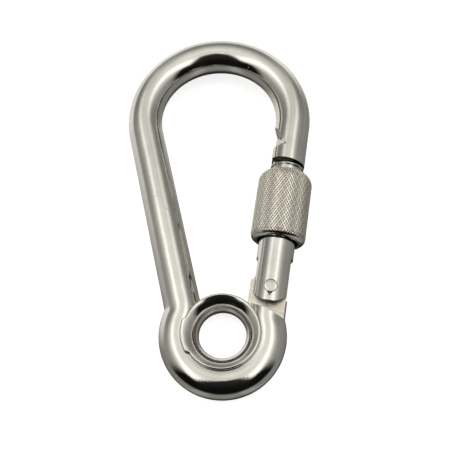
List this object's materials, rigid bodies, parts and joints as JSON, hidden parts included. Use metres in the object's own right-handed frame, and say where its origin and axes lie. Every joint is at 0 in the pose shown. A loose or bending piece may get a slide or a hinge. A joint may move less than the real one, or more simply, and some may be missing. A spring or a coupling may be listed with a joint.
{
  "type": "screw-lock snap hook",
  "caption": "Pear-shaped bent-wire snap hook with a thimble in its eye and a spring gate locked by a knurled screw sleeve; carries keys or a light line.",
  "frame": {"origin": "centre of the thimble's bore in the hook's eye, in the ring's middle plane", "axes": "+Y from the eye to the bow, +X towards the gate, +Z along the eye's bore, out of the ring"},
  "size_m": [0.0393, 0.08, 0.0112],
  "materials": {
    "wire_nickel": "bright polished nickel plate on steel",
    "thimble_nickel": "bright nickel plate on pressed steel",
    "gate_nickel": "satin nickel plate on turned steel",
    "pin_nickel": "plated steel pin with a flat end",
    "inner_steel": "plain spring steel",
    "sleeve_nickel": "nickel plate over a fine diamond knurl, smooth rims"
  },
  "bodies": {
    "hook": {"hook_body": "wire_nickel", "thimble": "thimble_nickel"},
    "gate": {"gate_bar": "gate_nickel", "pivot_rivet": "pin_nickel", "latch_pin": "pin_nickel", "gate_spring": "inner_steel"},
    "plunger": {"spring_plunger": "inner_steel"},
    "sleeve_carrier": {"sleeve_ring": "inner_steel"},
    "sleeve": {"screw_sleeve": "sleeve_nickel"}
  },
  "joints": [
    {"name": "gate_swing", "type": "hinge", "parent": "hook", "child": "gate", "pos_m": [0.00948, 0.00887, 0], "axis": [0, 0, 1], "range_deg": [0, 30], "stiffness_Nm_per_rad": 0.05, "springref_deg": -28.65},
    {"name": "plunger_slide", "type": "slide", "parent": "gate", "child": "plunger", "axis": [0.1513, 0.9885, 0], "range_m": [0, 0.00075], "deforming": ["gate_spring"]},
    {"name": "sleeve_travel", "type": "slide", "parent": "gate", "child": "sleeve_carrier", "axis": [0.1513, 0.9885, 0], "range_m": [0, 0.008]},
    {"name": "sleeve_turn", "type": "hinge", "parent": "sleeve_carrier", "child": "sleeve", "pos_m": [0.00948, 0.00887, 0], "axis": [0.1513, 0.9885, 0], "range_deg": [0, 2885]}
  ],
  "couplings": [
    {"joint": "plunger_slide", "follows": "gate_swing", "m_per_rad": 0.00134},
    {"joint": "sleeve_turn", "follows": "sleeve_travel", "rad_per_m": 6283.2}
  ]
}
